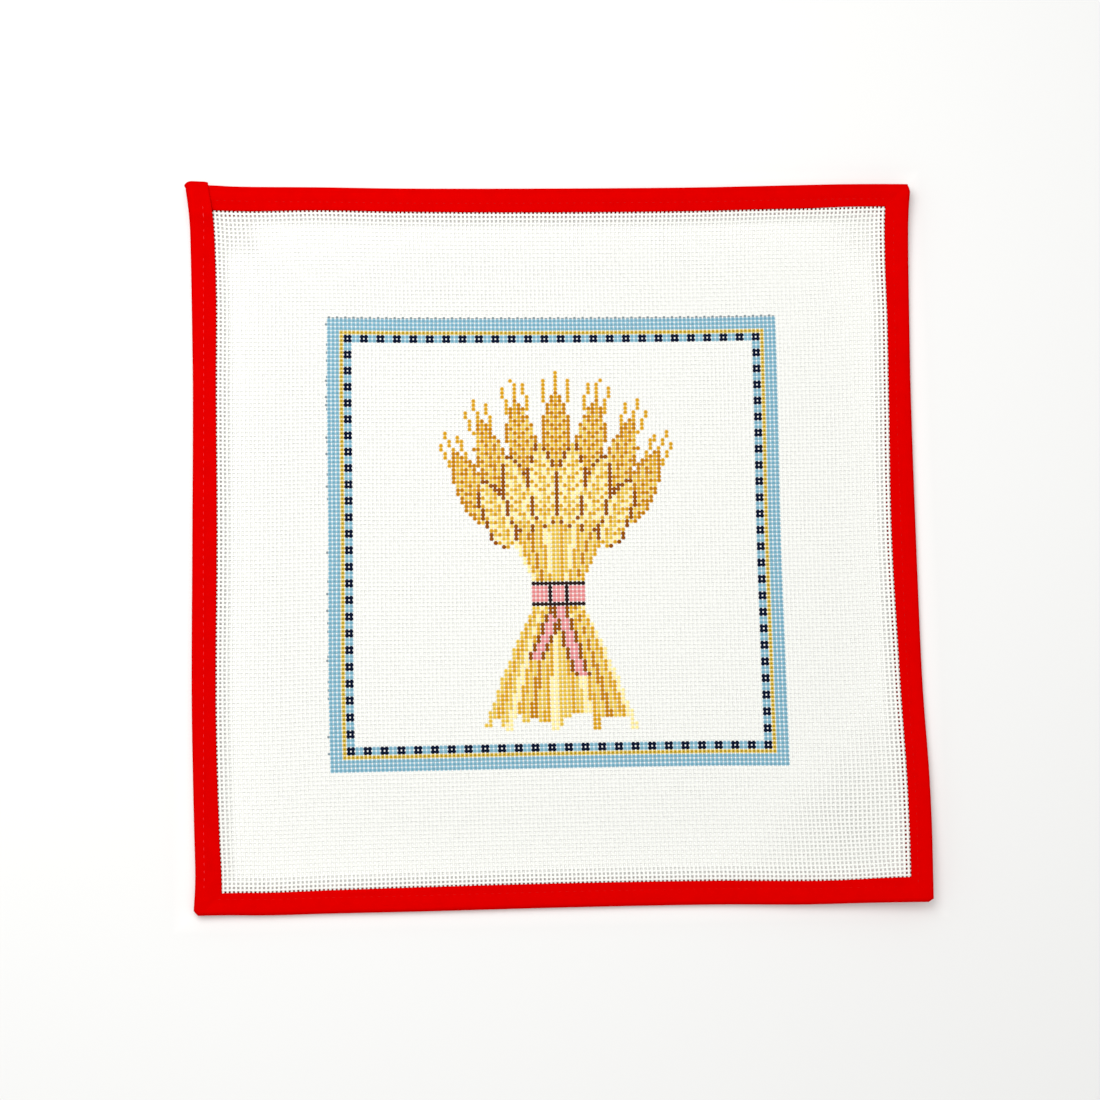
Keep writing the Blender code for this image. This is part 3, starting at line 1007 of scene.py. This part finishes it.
def painted_table_glow(nodes, parts, across_and_up, away):
    """Strength of the table's painted glow, in place of light through the cloth: near the tape, at
    the corners, on the slant.
    """

    def light(distance, stops):
        return by_distance(nodes, distance, ((reach, grey(part)) for reach, part in stops))

    inside = light(away, zip(UNDER_REACH, (1.0, 0.0)))
    diagonal = nodes.math("DIVIDE", nodes.math("ADD", *across_and_up), 2.0 * RAMP_SPAN * MM)
    at_corners = nodes.math("MULTIPLY", light(diagonal, CORNER_GLOW), inside)
    slant = nodes.math("SUBTRACT", parts.outputs["X"], parts.outputs["Y"])
    slant = nodes.math("ADD", nodes.math("MULTIPLY", slant, 0.5), SLANT_START * MM)
    slant = nodes.math("DIVIDE", slant, RAMP_SPAN * MM)
    on_slant = nodes.math("MULTIPLY", light(slant, SLANT_GLOW), light(away, SLANT_FADE))
    return nodes.math("ADD", light(away, GLOW), nodes.math("ADD", at_corners, on_slant))


def floor_material():
    """Smooth white table top, with painted light in its tone and its glow, both by the distance from
    the panel's middle.
    """
    nodes = Nodes("white_table")
    shader = nodes.shader
    parts = nodes.add("ShaderNodeSeparateXYZ")
    nodes.link(nodes.place(), parts.inputs["Vector"])
    across_and_up = [nodes.math("ABSOLUTE", parts.outputs[axis], 0.0) for axis in "XY"]
    away = nodes.math("DIVIDE", nodes.math("MAXIMUM", *across_and_up), RAMP_SPAN * MM)
    # Painted light: the table is paler under the panel.
    tones = ((reach, shade(WHITE, tone)) for reach, tone in PAINTED_LIGHT_UNDER_TONES)
    nodes.link(by_distance(nodes, away, tones), shader.inputs["Base Color"])
    # Painted light: the table top emits light, though it is no lamp.
    nodes.link(painted_table_glow(nodes, parts, across_and_up, away), shader.inputs["Emission Strength"])
    shader.inputs["Emission Color"].default_value = (*WHITE, 1.0)
    smudges = nodes.noise(scale=60.0, detail=3.0)
    nodes.link(nodes.between(smudges, 0.75, 0.85), shader.inputs["Roughness"])
    shader.inputs["Specular IOR Level"].default_value = 0.1
    return nodes.material


# ================================================================ stage
def build_camera():
    """The camera at the photograph's viewing angle."""
    data = bpy.data.cameras.new("photo_camera")
    data.lens, data.sensor_width, data.sensor_fit = LENS, SENSOR, "HORIZONTAL"
    data.clip_start, data.clip_end = 0.01, 20.0
    camera = bpy.data.objects.new("photo_camera", data)
    bpy.context.scene.collection.objects.link(camera)
    forward, right = Vector(CAMERA_FORWARD).normalized(), Vector(CAMERA_RIGHT).normalized()
    up = right.cross(forward)
    axes = Matrix((right, up, -forward)).transposed()
    camera.matrix_world = Matrix.Translation(Vector(CAMERA_PLACE) * MM) @ axes.to_4x4()
    bpy.context.scene.camera = camera


def build_floor():
    """The plain table top that the panel lies on."""
    bpy.ops.mesh.primitive_plane_add(size=FLOOR_SIZE * MM)
    floor = bpy.context.object
    floor.name = "table_top"
    floor.data.materials.append(floor_material())


def build_window():
    """A wide soft light from the upper left."""
    data = bpy.data.lights.new("window", "AREA")
    data.shape, data.size, data.energy = "SQUARE", LAMP_SIZE * MM, LAMP_POWER
    lamp = bpy.data.objects.new("window", data)
    lamp.location = Vector(LAMP_PLACE) * MM
    lamp.rotation_euler = (-lamp.location).to_track_quat("-Z", "Y").to_euler()
    bpy.context.scene.collection.objects.link(lamp)


def build_room():
    """An even white room, brightest overhead."""
    world = bpy.data.worlds.new("room")
    world.use_nodes = True
    tree = world.node_tree
    background = tree.nodes["Background"]
    background.inputs["Color"].default_value = (1.0, 1.0, 1.0, 1.0)
    direction = tree.nodes.new("ShaderNodeTexCoord")
    parts = tree.nodes.new("ShaderNodeSeparateXYZ")
    strength = tree.nodes.new("ShaderNodeMapRange")
    strength.interpolation_type = "SMOOTHSTEP"
    limits = zip(("From Min", "From Max", "To Min", "To Max"), SKY_HEIGHTS + SKY_STRENGTHS)
    for name, value in limits:
        strength.inputs[name].default_value = value
    tree.links.new(direction.outputs["Generated"], parts.inputs["Vector"])
    tree.links.new(parts.outputs["Z"], strength.inputs["Value"])
    tree.links.new(strength.outputs["Result"], background.inputs["Strength"])
    bpy.context.scene.world = world


def set_view():
    """Plain display of the light, so that the table's white stays white."""
    view = bpy.context.scene.view_settings
    view.view_transform = "Standard"
    view.look = "None"
    view.exposure = 0.0
    view.gamma = 1.0


# ================================================================ the whole
def declare_canvas(sets):
    """Attaches each set of threads to the root body, and hides the plain canvas solid."""
    widths = SETS * (WARP_WIDTH,) + SETS * (WEFT_WIDTH,)
    for piece, thread_width in zip(sets, widths):
        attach(piece, "root")
        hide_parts("canvas")


def declare_tape(tape, stitches):
    """Attaches the tape and its stitches to the root body, and hides the plain binding solid."""
    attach(tape, "root")
    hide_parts("binding")
    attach(stitches, "root")


def main():
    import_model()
    set_view()
    build_camera()
    build_window()
    build_room()
    build_floor()
    sets = build_canvas()
    tape = build_tape()
    stitches = build_stitches()
    declare_tape(tape, stitches)
    declare_canvas(sets)


main()
